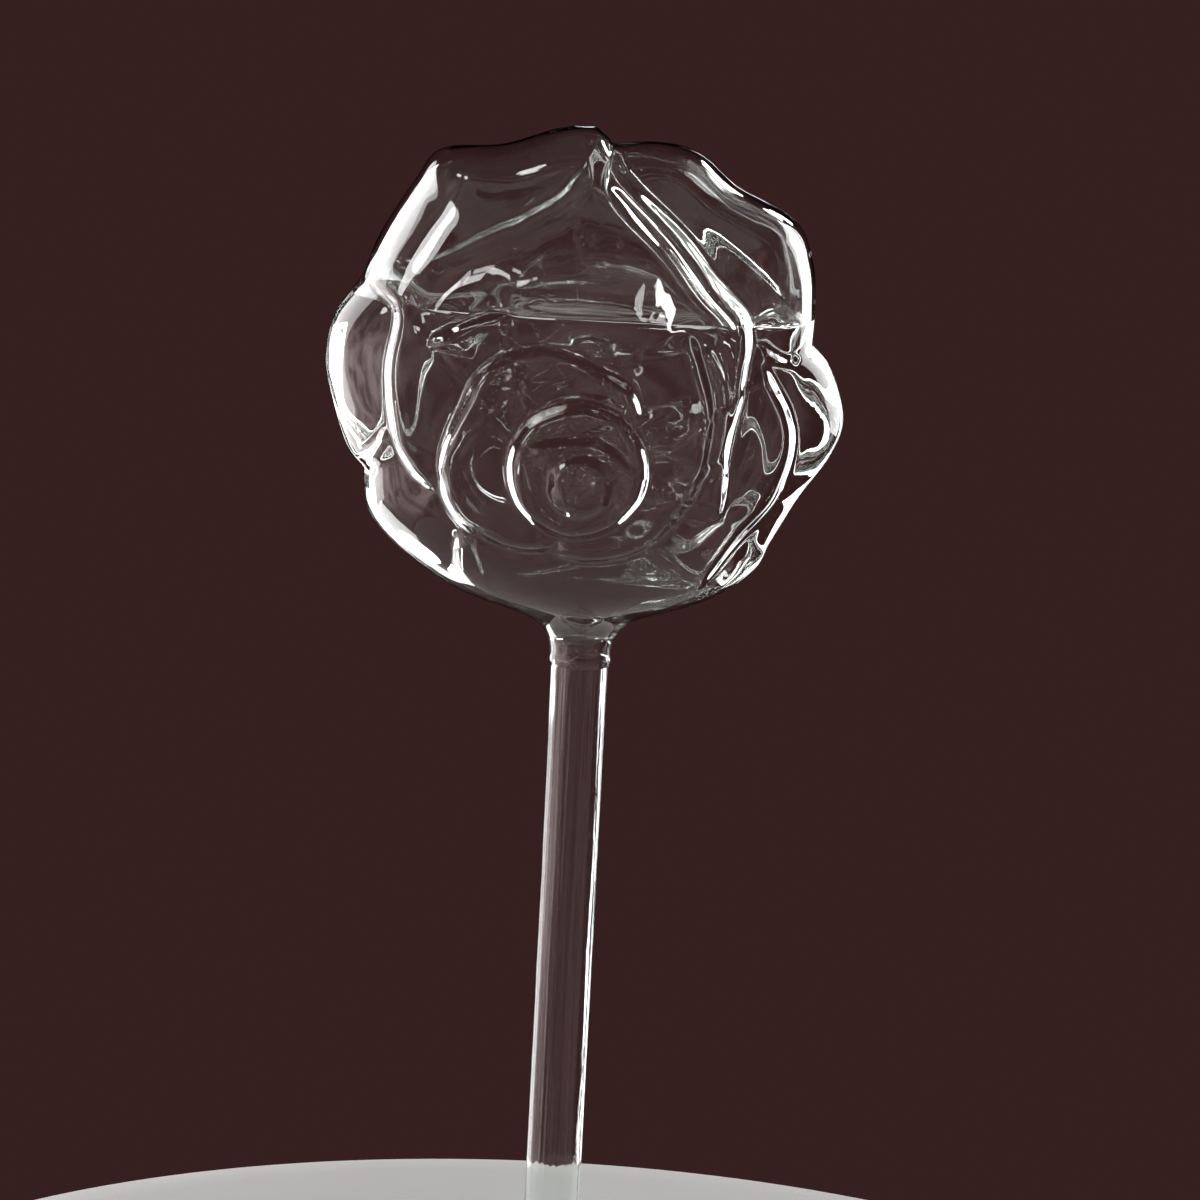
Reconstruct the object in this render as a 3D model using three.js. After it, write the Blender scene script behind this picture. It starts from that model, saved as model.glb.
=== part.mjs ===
import * as THREE from 'three';
import { mergeVertices } from 'three/addons/utils/BufferGeometryUtils.js';

// Glass plant waterer: a hollow rose blown in a mould, fused to a drawn stem tube.
// Millimetres. +Z runs up the stem, the front of the rose faces -Y,
// and the origin is the centre of the open stem tip.

// Driving sizes of the stem and the weld
const stemOuterRadius = 4.4;
const stemWall = 1.1;
const stemBoreRadius = stemOuterRadius - stemWall;
const stemLength = 116.4;
const tipRounding = 0.3;
const weldHeight = 1.8;
const weldBulge = 0.25;
const weldBoreDrop = 0.15;
const weldTopZ = stemLength + weldHeight;

// Driving sizes of the rose. Its petals reach out past a plain rounded body.
const roseWidth = 79.7;
const roseHeight = 76.6;
const roseOffsetX = -1.5;
const petalReachAcross = 1.25;
const petalReachUpright = 1.5;
const bodyHalfWidth = roseWidth / 2 - petalReachAcross;
const bodyHalfHeight = roseHeight / 2 - petalReachUpright;
const bodyHalfDepth = 26;
// Fullness of the body seen from the side, where 2 would be an ellipse
const bodyFullness = 2.5;
const bulbWall = 1.5;
const petalFadePower = 4;

// Driving sizes of the neck, which flares from the weld up to the body
const neckSwell = 0.2;
const neckRadius = stemOuterRadius + neckSwell;
const neckHeight = 6;
const neckFlare = 3.2;
const neckFlarePower = 2.2;
const neckSteps = 4;
const neckShoulder = 2.8;
const bodyNeckAngle = THREE.MathUtils.degToRad(162);
const roseCentreZ = weldTopZ + neckHeight + neckShoulder - bodyHalfHeight * Math.cos(bodyNeckAngle);

// Relief: each petal edge is a raised rim on one side of a crease and a dip on the other
const rimHeight = 1.5;
const rimWidth = 1.5;
const rimReach = 8;
const dipDepth = 0.9;
const dipWidth = 0.9;
const dipReach = 5;
const edgeTaper = 3;
const reliefFadePower = 12;

// Mesh resolution
const frontColumns = 36;
const backColumns = 24;
const outerRings = 42;
const innerRings = 22;
const middleBias = 0.22;
const ringBias = 0.4;
const ringFocus = 0.69;
const edgeSpans = 6;
const outlineSpans = 8;
const spreadSteps = 12;
const cutLevels = [0, rimWidth, -dipWidth];
const frontCutLevels = [...cutLevels, rimWidth / 3];
const cutSnap = 0.28;
const cutTolerance = 0.12;
const cutRim = 0.96;
const cutFade = 0.1;
const cutSlack = 1.02;
const insideReach = 2.6;
const insideSamples = 8;
const roundSides = 36;
const tipSteps = 3;
const weldSteps = 6;

// Petal outlines seen from the front, as (x, z) from the rose centre on the drawing of the rose.
// Each list runs from one notch to the next, anticlockwise from the top notch.
const topNotch = [2.5, 35.2];
const leftNotch = [-34.6, 13.4];
const lowLeftNotch = [-33.1, -15.8];
const bottomPoint = [1.5, -39];
const lowRightNotch = [29.6, -24.9];
const rightNotch = [34.5, 6.2];
const petalOutlines = [
  [topNotch, [-0.2, 37.6], [-5.7, 37.2], [-14.2, 34.3], [-23.5, 33.2], [-27.1, 28.7], [-32.2, 20.1],
    leftNotch],
  [leftNotch, [-38.5, 7.6], [-39.7, 1.5], [-38.9, -4], [-36.1, -12.2], lowLeftNotch],
  [lowLeftNotch, [-32.2, -22.4], [-26.7, -28.4], [-18.7, -33.7], [-9.7, -36.7], bottomPoint],
  [bottomPoint, [12.6, -36.7], [21.8, -33.4], [27.8, -28.6], lowRightNotch],
  [lowRightNotch, [33.8, -17.2], [38.4, -10.3], [40, -4.5], [37.6, 2.8], rightNotch],
  [rightNotch, [34.7, 12.5], [34, 18.8], [31.1, 24.9], [21.7, 29.9], [15.8, 34.5], [9.6, 35.8], topNotch],
];

// The drawing is placed on the rose by its own width and height
const drawnExtent = (axis) => {
  const values = petalOutlines.flat().map((point) => point[axis]);
  return Math.max(...values) - Math.min(...values);
};
const drawnWidth = drawnExtent(0);
const drawnHeight = drawnExtent(1);
const placePoint = (point) => new THREE.Vector2(
  point[0] * (roseWidth / drawnWidth),
  point[1] * (roseHeight / drawnHeight),
);

// An edge that leaves at a notch runs on past the outline
const notchOvershoot = 1.1;
const beyond = (notch) => notch.map((value) => value * notchOvershoot);
const notchAngles = [topNotch, leftNotch, lowLeftNotch, lowRightNotch, rightNotch]
  .map((notch) => placePoint(notch).angle())
  .map((angle) => (angle > Math.PI ? angle - 2 * Math.PI : angle));

// Front petal edges. The petal that lies on top is to the left of the direction of travel.
const frontEdges = [
  { height: 0.9, points: [[21.7, -19.5], [22, -13.1], [21.9, -9.9], [22.8, -3.9], [23.5, -0.7], [24, 4.2],
    [24.4, 7.6], [23.4, 11.6], [19, 16.5], [13.2, 23.5], [4.5, 31.6], beyond(topNotch)] },
  { height: 0.9, points: [beyond(rightNotch), [32.5, 5.7], [31.1, 5.1], [29.5, 5.3], [27.4, 6.5],
    [25.2, 8.2]] },
  { height: 1, points: [beyond(leftNotch), [-31.6, 12.4], [-28.4, 9.2], [-29.3, 0.9], [-28.1, -8.1],
    [-25.4, -13.6], [-23, -15.9], [-20.8, -17.3]] },
  { height: 1, points: [[19, -31], [24.2, -22.9], [29.2, -17], [30.9, -12.6], [31.7, -8.9], [31.7, -5.7],
    [30.7, -2.3], [29, 0.8], [27.3, 3.6], [25.7, 4.9]] },
  { height: 0.8, points: [[-28.6, -7.1], [-31.1, -11], beyond(lowLeftNotch)] },
  { height: 0.8, points: [[-17.3, -21.9], [-18, -26], [-17.5, -31.3], [-16.4, -34.5]] },
  { height: 0.7, points: [[-4, -25.5], [3, -26.2], [10, -24], [15.2, -18.5], [18.2, -12], [19.2, -5.5],
    [19.3, -2.7], [18.8, 0.1], [17.7, 3.6], [15.4, 9.7]] },
  { height: 0.6, points: [[-10.5, 10.6], [-13.5, 10.2], [-17.1, 9], [-20, 7.5], [-21.7, 6.4],
    [-23.5, 4.8]] },
  { height: 0.9, points: [[9.2, -5.1], [8.8, -3.4], [7.8, -0.8], [6.6, 0.8], [4.7, 1.8], [2.1, 3],
    [-0.5, 4.2], [-5, 5.5], [-9.5, 5], [-13.6, 3], [-16.1, 0.3], [-17.6, -3.4], [-19.2, -7.2],
    [-20.3, -10.7], [-20.6, -13.9], [-19.7, -17.9], [-17.3, -21.4], [-13.9, -23.2], [-10.8, -24.6],
    [-7.5, -25.1], [-4.5, -24.8], [-2.3, -23.5]] },
];

// Rolled bud at the middle of the rose, the fold inside it and the small ring at its heart
const budEdge = { height: 1.3, closed: true, points: [[2.7, -2.6], [-1.7, -2.4], [-7.4, -5.2], [-10.2, -11],
  [-8.6, -17.8], [-2.5, -22.2], [4.5, -21], [9.2, -16], [9.8, -10], [6.6, -4.6]] };
const budFold = { height: 0.5, points: [[8.5, -13.4], [7.5, -11], [5, -8.6], [1.8, -7.1], [-2.7, -7.5],
  [-6.1, -8.1], [-8.3, -9.9]] };
const budRing = { height: 0.35, closed: true, points: [[4.8, -14.3], [3.5, -11.4], [0.4, -9.8],
  [-2.9, -11.3], [-4.1, -14.7], [-2.9, -17.6], [0.5, -18.9], [3.7, -17.2]] };
const budDome = 2.2;
const budDomeRadius = 9;
const budDomeCentre = [0, -12.4];

// Back petal edges: the other half of the mould, plainer and without the bud
const backEdges = [
  { height: 0.6, points: [beyond(topNotch), [-4.5, 28], [-11, 23], [-17, 19.5], [-26, 15.5],
    beyond(leftNotch)] },
  { height: 0.6, points: [beyond(rightNotch), [29, 14], [20, 20.5], [10, 27], [3.5, 33]] },
  { height: 0.5, points: [beyond(lowRightNotch), [27.5, -10], [22, 4], [12, 13], [-2, 16]] },
  { height: 0.5, points: [[6, 12], [-8, 11], [-20, 4], [-26, -8], beyond(lowLeftNotch)] },
  { height: 0.5, points: [[-21, -4], [-18, -16], [-8, -24], [6, -27], [20, -22], [26, -15]] },
  { height: 0.5, closed: true, points: [[12.5, -10], [7, 2.5], [-3, 4.5], [-11, -1], [-12.5, -10],
    [-6, -16.5], [4, -16.5]] },
];

function samplePoints(points, perSpan) {
  const spline = new THREE.SplineCurve(points.map(placePoint));
  return spline.getPoints((points.length - 1) * perSpan);
}

function sampleLoop(points, perSpan) {
  const wrapped = [points[points.length - 1], ...points, points[0], points[1]];
  return samplePoints(wrapped, perSpan).slice(perSpan, (points.length + 1) * perSpan + 1);
}

// Radius of the petal outline at each angle about the rose centre
const outlineSamples = petalOutlines
  .flatMap((points) => samplePoints(points, outlineSpans).slice(0, -1))
  .map((point) => ({ angle: Math.atan2(point.y, point.x), radius: point.length() }))
  .sort((a, b) => a.angle - b.angle);

function outlineRadius(angle) {
  const count = outlineSamples.length;
  let next = outlineSamples.findIndex((sample) => sample.angle > angle);
  if (next < 0) {
    next = 0;
  }
  const after = outlineSamples[next];
  const before = outlineSamples[(next + count - 1) % count];
  const turn = 2 * Math.PI;
  const span = (after.angle - before.angle + turn) % turn;
  const part = ((angle - before.angle + turn) % turn) / span;
  return before.radius + (after.radius - before.radius) * part;
}

function bodyRadius(angle) {
  return 1 / Math.hypot(Math.cos(angle) / bodyHalfWidth, Math.sin(angle) / bodyHalfHeight);
}

// The petal outline holds at the rim and fades into the plain body towards the middle of each face
function faceRadius(angle, spread) {
  const body = bodyRadius(angle);
  return body + (outlineRadius(angle) - body) * spread ** petalFadePower;
}

// Petal edges as sampled lines, with the length run up to each point
function makeEdge({ height, points, closed = false }) {
  const line = closed ? sampleLoop(points, edgeSpans) : samplePoints(points, edgeSpans);
  const runs = [0];
  for (let i = 1; i < line.length; i += 1) {
    runs.push(runs[i - 1] + line[i].distanceTo(line[i - 1]));
  }
  return { height, line, runs, length: runs[runs.length - 1], closed };
}

const frontLines = [...frontEdges, budEdge, budFold, budRing].map(makeEdge);
const backLines = backEdges.map(makeEdge);

function nearestOnEdge(edge, x, z) {
  let best = { distance: Infinity };
  for (let i = 0; i < edge.line.length - 1; i += 1) {
    const a = edge.line[i];
    const b = edge.line[i + 1];
    const dx = b.x - a.x;
    const dz = b.y - a.y;
    const part = THREE.MathUtils.clamp(((x - a.x) * dx + (z - a.y) * dz) / (dx * dx + dz * dz), 0, 1);
    const footX = a.x + dx * part;
    const footZ = a.y + dz * part;
    const distance = Math.hypot(x - footX, z - footZ);
    if (distance < best.distance) {
      const side = dx * (z - footZ) - dz * (x - footX);
      const run = edge.runs[i] + Math.hypot(dx, dz) * part;
      best = { distance, signed: side < 0 ? -distance : distance, run, footX, footZ };
    }
  }
  return best;
}

// Height across one petal edge: a rounded rim over the crease, a dip under it, both dying away
function edgeProfile(signed) {
  const rim = signed > 0;
  const width = rim ? rimWidth : dipWidth;
  const away = Math.abs(signed);
  const share = 1 - Math.min(1, away / width);
  const swell = Math.sqrt(1 - share * share);
  const decay = Math.exp(-Math.max(0, away - width) / (rim ? rimReach : dipReach));
  return (rim ? rimHeight : -dipDepth) * swell * decay;
}

// A petal edge dies out over its last few millimetres; a closed one has no end
function taperAt(edge, run) {
  if (edge.closed) {
    return 1;
  }
  const toEnd = Math.min(run, edge.length - run) / edgeTaper;
  return THREE.MathUtils.smoothstep(toEnd, 0, 1);
}

function reliefHeight(x, z, front) {
  let height = 0;
  for (const edge of front ? frontLines : backLines) {
    const near = nearestOnEdge(edge, x, z);
    height += edge.height * taperAt(edge, near.run) * edgeProfile(near.signed);
  }
  if (front) {
    const domeCentre = placePoint(budDomeCentre);
    const away = Math.hypot(x - domeCentre.x, z - domeCentre.y);
    height += budDome * Math.exp(-((away / budDomeRadius) ** 2));
  }
  return height;
}

// How far out a place (x, z) lies on its face: 0 at the rose centre, 1 on the petal outline
function spreadAt(x, z) {
  const angle = Math.atan2(z, x);
  const reach = Math.hypot(x, z);
  let spread = Math.min(1, reach / bodyRadius(angle));
  for (let i = 0; i < spreadSteps; i += 1) {
    spread = Math.min(1, reach / faceRadius(angle, spread));
  }
  return spread;
}

// Polar angle of a share of the way down to the neck, with the rings closest together at the bud
function polarAt(share) {
  const turn = 2 * Math.PI;
  const swing = Math.sin(turn * (share - ringFocus)) + Math.sin(turn * ringFocus);
  return bodyNeckAngle * (share - (ringBias / turn) * swing);
}

// Place on the front (side 1) or back (side -1) face, or on the outline between them (side 0),
// for a longitude counted from the front and a share of the way from the top down to the neck.
// A place on the outline close to a notch is moved into it.
function facePlace(longitude, down, step) {
  const polar = polarAt(down);
  const nx = Math.sin(polar) * Math.sin(longitude);
  const nz = Math.cos(polar);
  const spread = Math.min(1, Math.hypot(nx, nz));
  const onOutline = spread > 1 - 1e-9;
  let angle = Math.atan2(nz, nx);
  if (onOutline) {
    const halfGap = (polarAt(down + step / 2) - polarAt(down - step / 2)) / 2;
    angle = notchAngles.find((notch) => Math.abs(notch - angle) < halfGap) ?? angle;
  }
  const reach = faceRadius(angle, spread) * spread;
  const side = onOutline ? 0 : Math.sign(Math.cos(longitude));
  return { x: reach * Math.cos(angle), z: reach * Math.sin(angle), spread, side };
}

// The inside of the wall follows the lowest relief around a place, so ridges are thicker glass
function insideRelief(x, z, front) {
  let lowest = reliefHeight(x, z, front);
  for (let i = 0; i < insideSamples; i += 1) {
    const turn = (2 * Math.PI * i) / insideSamples;
    const nearX = x + insideReach * Math.cos(turn);
    const nearZ = z + insideReach * Math.sin(turn);
    lowest = Math.min(lowest, reliefHeight(nearX, nearZ, front));
  }
  return lowest;
}

// Point of the glass for a place on a face, on the outside (inset 0) or pulled in by the wall
function rosePoint(place, inset) {
  const shrink = 1 - inset / bodyHalfWidth;
  const facing = (1 - place.spread ** bodyFullness) ** (1 / bodyFullness);
  const reliefAt = inset > 0 ? insideRelief : reliefHeight;
  const relief = reliefAt(place.x, place.z, place.side > 0) * (1 - place.spread ** reliefFadePower);
  const depth = facing * (bodyHalfDepth - inset) + relief;
  return new THREE.Vector3(
    roseOffsetX + place.x * shrink,
    -place.side * depth,
    roseCentreZ + place.z * shrink,
  );
}

// Longitudes of the columns: the front half has more, and both are closer together at the middle
function columnLongitudes(frontCount, backCount) {
  const spaced = (share) => Math.PI * (share - 0.5) - middleBias * Math.sin(2 * Math.PI * (share - 0.5));
  const front = Array.from({ length: frontCount }, (_, i) => spaced(i / frontCount));
  const back = Array.from({ length: backCount }, (_, i) => Math.PI + spaced(i / backCount));
  return [...front, ...back];
}

function faceRing(longitudes, ring, ringCount) {
  return longitudes.map((longitude) => facePlace(longitude, ring / ringCount, 1 / ringCount));
}

// Widening of the neck, for a share of the way from the weld up to the body
function flareAt(share) {
  return neckFlare * share ** neckFlarePower;
}

function neckRing(longitudes, radius, height) {
  return longitudes.map((longitude) => new THREE.Vector3(
    radius * Math.sin(longitude),
    -radius * Math.cos(longitude),
    weldTopZ + height,
  ));
}

// Faces between successive rings of vertex numbers; a ring may be a single point or half as many
function stitchRings(rings) {
  const faces = [];
  for (let level = 0; level < rings.length - 1; level += 1) {
    const upper = rings[level];
    const lower = rings[level + 1];
    const count = Math.max(upper.length, lower.length);
    const pick = (ring, i) => ring[Math.floor((i * ring.length) / count) % ring.length];
    for (let i = 0; i < count; i += 1) {
      if (pick(lower, i) !== pick(lower, i + 1)) {
        faces.push([pick(upper, i), pick(lower, i), pick(lower, i + 1)]);
      }
      if (pick(upper, i) !== pick(upper, i + 1)) {
        faces.push([pick(upper, i), pick(lower, i + 1), pick(upper, i + 1)]);
      }
    }
  }
  return faces;
}

function distanceBetween(a, b) {
  return Math.hypot(a.x - b.x, a.z - b.z);
}

// Adds vertices where mesh edges cross one line beside a petal edge, so the relief keeps sharp lines.
// A vertex that already lies close to the line is moved onto it instead.
function cutAlong(places, faces, edge, side, level) {
  const offsets = places.map((place) => {
    if (place.side === -side) {
      return null;
    }
    const near = nearestOnEdge(edge, place.x, place.z);
    const offset = near.signed - level;
    const free = !place.fixed && taperAt(edge, near.run) > 2 * cutFade;
    if (Math.abs(offset) < cutTolerance) {
      return 0;
    }
    if (free && Math.abs(offset) < place.room * cutSnap && near.distance > Math.abs(offset) / 2) {
      const pull = Math.abs(level) / near.distance;
      place.x = near.footX + (place.x - near.footX) * pull;
      place.z = near.footZ + (place.z - near.footZ) * pull;
      place.spread = spreadAt(place.x, place.z);
      place.fixed = true;
      return 0;
    }
    return offset;
  });
  const cuts = new Map();
  const cutBetween = (a, b) => {
    const key = a < b ? `${a}_${b}` : `${b}_${a}`;
    if (cuts.has(key)) {
      return cuts.get(key);
    }
    cuts.set(key, null);
    const from = offsets[a];
    const to = offsets[b];
    const length = distanceBetween(places[a], places[b]);
    const nearRim = Math.max(places[a].spread, places[b].spread) > cutRim;
    const kept = nearRim || (places[a].last && places[b].last);
    if (from === null || to === null || from * to >= 0 || kept || Math.abs(from - to) > length * cutSlack) {
      return null;
    }
    const share = from / (from - to);
    const x = THREE.MathUtils.lerp(places[a].x, places[b].x, share);
    const z = THREE.MathUtils.lerp(places[a].z, places[b].z, share);
    if (taperAt(edge, nearestOnEdge(edge, x, z).run) < cutFade) {
      return null;
    }
    places.push({ x, z, spread: spreadAt(x, z), side, fixed: true });
    places[a].room = Math.min(places[a].room, length * share);
    places[b].room = Math.min(places[b].room, length * (1 - share));
    cuts.set(key, places.length - 1);
    return places.length - 1;
  };
  return faces.flatMap((face) => {
    const mids = face.map((from, i) => cutBetween(from, face[(i + 1) % 3]));
    const corners = face.flatMap((from, i) => (mids[i] === null ? [from] : [from, mids[i]]));
    if (corners.length === 3) {
      return [face];
    }
    if (corners.length === 6) {
      return [[face[0], mids[0], mids[2]], [face[1], mids[1], mids[0]], [face[2], mids[2], mids[1]], mids];
    }
    const first = corners.findIndex((corner) => mids.includes(corner));
    const turned = [...corners.slice(first), ...corners.slice(0, first)];
    if (turned.length === 4) {
      return [[turned[0], turned[1], turned[2]], [turned[0], turned[2], turned[3]]];
    }
    const start = mids.includes(turned[2]) ? turned : [...turned.slice(-2), ...turned.slice(0, -2)];
    return [
      [start[0], start[1], start[2]],
      [start[0], start[2], start[3]],
      [start[0], start[3], start[4]],
    ];
  });
}

// Rose bulb: outside from the top down to the neck, across the neck rim, and back up the inside
function roseBulbGeometry() {
  const outside = columnLongitudes(frontColumns, backColumns);
  const inside = columnLongitudes(frontColumns / 2, backColumns / 2);
  const places = [];
  const addPlaces = (ring) => ring.map((place) => places.push(place) - 1);
  const topPlace = facePlace(0, 0, 1 / outerRings);
  const outerRingNumbers = [addPlaces([topPlace])];
  for (let i = 1; i <= outerRings; i += 1) {
    outerRingNumbers.push(addPlaces(faceRing(outside, i, outerRings)));
  }
  outerRingNumbers.forEach((ring, level) => ring.forEach((number, i) => {
    const place = places[number];
    const next = places[ring[(i + 1) % ring.length]];
    const above = places[outerRingNumbers[Math.max(0, level - 1)][level > 1 ? i : 0]];
    place.room = Math.min(distanceBetween(place, next), distanceBetween(place, above));
    place.last = level === outerRings;
    place.fixed = place.last || place.spread > cutRim;
  }));
  let faces = stitchRings(outerRingNumbers);
  for (const [lines, side, levels] of [[frontLines, 1, frontCutLevels], [backLines, -1, cutLevels]]) {
    for (const level of levels) {
      for (const line of lines) {
        faces = cutAlong(places, faces, line, side, level);
      }
    }
  }
  const points = places.map((place) => rosePoint(place, 0));
  const addPoints = (ring) => ring.map((point) => points.push(point) - 1);
  const rings = [outerRingNumbers[outerRings]];
  for (let i = neckSteps; i >= 0; i -= 1) {
    const share = i / neckSteps;
    rings.push(addPoints(neckRing(outside, neckRadius + flareAt(share), neckHeight * share)));
  }
  for (let i = 0; i <= neckSteps; i += 1) {
    const share = i / neckSteps;
    rings.push(addPoints(neckRing(inside, stemBoreRadius + flareAt(share), (neckHeight + bulbWall) * share)));
  }
  const insidePoint = (place) => rosePoint(place, bulbWall);
  for (let i = innerRings; i >= 1; i -= 1) {
    rings.push(addPoints(faceRing(inside, i, innerRings).map(insidePoint)));
  }
  rings.push(addPoints([insidePoint(topPlace)]));
  faces.push(...stitchRings(rings));
  const geometry = new THREE.BufferGeometry().setFromPoints(points);
  geometry.setIndex(faces.flat());
  geometry.computeVertexNormals();
  return geometry;
}

// Tube wall turned about the stem axis from a closed outline of (radius, height)
function turnedGeometry(outline) {
  const profile = [...outline, outline[0]].map(([radius, height]) => new THREE.Vector2(radius, height));
  const lathe = new THREE.LatheGeometry(profile, roundSides);
  lathe.rotateX(Math.PI / 2);
  lathe.deleteAttribute('normal');
  lathe.deleteAttribute('uv');
  const geometry = mergeVertices(lathe, 1e-4);
  geometry.computeVertexNormals();
  return geometry;
}

function stemGeometry() {
  const outline = [];
  for (let i = 0; i <= tipSteps; i += 1) {
    const turn = (Math.PI / 2) * (i / tipSteps);
    const inward = tipRounding * (1 - Math.cos(turn));
    outline.push([stemBoreRadius + inward, tipRounding * (1 - Math.sin(turn))]);
  }
  for (let i = tipSteps; i >= 0; i -= 1) {
    const turn = (Math.PI / 2) * (i / tipSteps);
    const inward = tipRounding * (1 - Math.cos(turn));
    outline.push([stemOuterRadius - inward, tipRounding * (1 - Math.sin(turn))]);
  }
  outline.push([stemOuterRadius, stemLength]);
  outline.push([stemBoreRadius, stemLength]);
  return turnedGeometry(outline);
}

function weldGeometry() {
  const outline = [];
  for (let i = 0; i <= weldSteps; i += 1) {
    const share = i / weldSteps;
    const side = THREE.MathUtils.lerp(stemOuterRadius, neckRadius, share);
    outline.push([side + weldBulge * Math.sin(Math.PI * share), stemLength + weldHeight * share]);
  }
  for (let i = weldSteps; i >= 0; i -= 1) {
    const share = i / weldSteps;
    const bore = stemBoreRadius - weldBoreDrop * Math.sin(Math.PI * share);
    outline.push([bore, stemLength + weldHeight * share]);
  }
  return turnedGeometry(outline);
}

function glassMesh(name, geometry, color) {
  const material = new THREE.MeshStandardMaterial({ color, roughness: 0.04, metalness: 0 });
  const mesh = new THREE.Mesh(geometry, material);
  mesh.name = name;
  return mesh;
}

const waterer = new THREE.Group();
waterer.name = 'glass_plant_waterer';
waterer.add(glassMesh('rose_bulb', roseBulbGeometry(), 0xdce6e2));
waterer.add(glassMesh('neck_weld', weldGeometry(), 0xe6eeea));
waterer.add(glassMesh('stem_tube', stemGeometry(), 0xd6e2dc));

export default waterer;
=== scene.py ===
import math

import bpy
import numpy as np
from mathutils import Matrix, Vector


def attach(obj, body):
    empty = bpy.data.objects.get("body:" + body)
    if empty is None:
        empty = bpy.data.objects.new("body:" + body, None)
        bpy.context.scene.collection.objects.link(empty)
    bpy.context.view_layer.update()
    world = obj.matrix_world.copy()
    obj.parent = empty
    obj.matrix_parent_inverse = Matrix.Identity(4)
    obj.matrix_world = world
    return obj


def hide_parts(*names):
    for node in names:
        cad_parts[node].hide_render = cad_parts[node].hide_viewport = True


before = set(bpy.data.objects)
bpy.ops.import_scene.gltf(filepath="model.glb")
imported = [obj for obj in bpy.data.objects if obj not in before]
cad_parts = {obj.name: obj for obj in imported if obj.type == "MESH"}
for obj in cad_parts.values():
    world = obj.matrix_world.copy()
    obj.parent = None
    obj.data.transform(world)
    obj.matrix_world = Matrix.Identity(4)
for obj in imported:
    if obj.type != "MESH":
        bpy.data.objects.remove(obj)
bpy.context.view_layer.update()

# Sizes in millimetres, the same as the solids have
STEM_OUTER = 4.4
STEM_BORE = 3.3
STEM_LENGTH = 116.4
TIP_ROUNDING = 0.3
WELD_HEIGHT = 1.8
WELD_BULGE = 0.25
WELD_BORE_DROP = 0.15
WELD_TOP = STEM_LENGTH + WELD_HEIGHT
ROSE_X = -1.5
BODY_WIDTH = 38.6
BODY_HEIGHT = 36.8
BODY_DEPTH = 26.0
BODY_FULLNESS = 2.5
BULB_WALL = 1.5
NECK_RADIUS = 4.6
NECK_HEIGHT = 6.0
NECK_FLARE = 3.2
NECK_POWER = 2.2
BODY_TO_NECK = 2.8
BODY_END = math.radians(162)
ROSE_Z = WELD_TOP + NECK_HEIGHT + BODY_TO_NECK - BODY_HEIGHT * math.cos(BODY_END)
# The body takes up the petals' outline only near its silhouette, and the relief ends just before it
OUTLINE_POWER, RELIEF_POWER = 4, 12

# Lumps in the melted weld as (count round it, height, start), and draw lines in the stem as
# (count round it, height, lean over the lean length, start). The lines fade out at the stem's ends.
WELD_LUMPS = [(3, 0.06, 0.8), (7, 0.05, 2.1), (13, 0.03, 0.0)]
STEM_LINES = [(11, 0.012, 0.9, 0.0), (17, 0.009, -1.3, 1.0), (29, 0.006, 2.0, 2.2)]
LEAN_LENGTH = 40.0
LINES_INSET, LINES_FADE = 0.027, 6.0

# Relief of a petal edge and of a fine fold: a rounded rim over the crease and a dip under it,
# each as (height, width, reach), and the length over which its ends fade out
EDGE_RIM, EDGE_DIP = (1.5, 1.5, 8.0), (0.9, 0.9, 5.0)
FOLD_RIM, FOLD_DIP = (0.6, 0.8, 1.6), (0.35, 0.6, 1.2)
EDGE_TAPER = 3.0
FOLD_TAPER = 1.6
INSIDE_REACH = 2.6

# Water line in the rose, and how far the water climbs the glass
WATER_Z = 171.0
MENISCUS_RISE = 1.3
MENISCUS_REACH = 1.9
MENISCUS_RINGS = (0.15, 0.35, 0.6, 0.95, 1.4, 2, 2.8, 3.8, 5.2, 7.5)
# The water's sides stay this far off the wall
FILM = 0.03

# How finely the rose is meshed: columns round its front and back, and rings down its parts
FRONT_COLUMNS, BACK_COLUMNS = 300, 200
BODY_RINGS, DRY_RINGS, WET_RINGS = 300, 80, 120
NECK_RINGS, WELD_RINGS, STEM_RINGS, TIP_RINGS, WATER_STEM_RINGS = 25, 17, 90, 6, 60
# Steps in the search for the height where the water meets the wall
CONTACT_STEPS = 600
# Rings at the lower end of the neck that the softening leaves as they are
NECK_KEPT = 14

# Petal outlines and edges as (x, z) from the rose centre
TOP, LEFT, LOW_LEFT = (2.5, 35.2), (-34.6, 13.4), (-33.1, -15.8)
BOTTOM, LOW_RIGHT, RIGHT = (1.5, -39), (29.6, -24.9), (34.5, 6.2)
OUTLINES = [
    [TOP, (-0.2, 37.6), (-5.7, 37.2), (-14.2, 34.3), (-23.5, 33.2), (-27.1, 28.7),
     (-32.2, 20.1), LEFT],
    [LEFT, (-38.5, 7.6), (-39.7, 1.5), (-38.9, -4), (-36.1, -12.2), LOW_LEFT],
    [LOW_LEFT, (-32.2, -22.4), (-26.7, -28.4), (-18.7, -33.7), (-9.7, -36.7), BOTTOM],
    [BOTTOM, (12.6, -36.7), (21.8, -33.4), (27.8, -28.6), LOW_RIGHT],
    [LOW_RIGHT, (33.8, -17.2), (38.4, -10.3), (40, -4.5), (37.6, 2.8), RIGHT],
    [RIGHT, (34.7, 12.5), (34, 18.8), (31.1, 24.9), (21.7, 29.9), (15.8, 34.5), (9.6, 35.8), TOP],
]


def beyond(notch):
    return (notch[0] * 1.1, notch[1] * 1.1)


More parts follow.
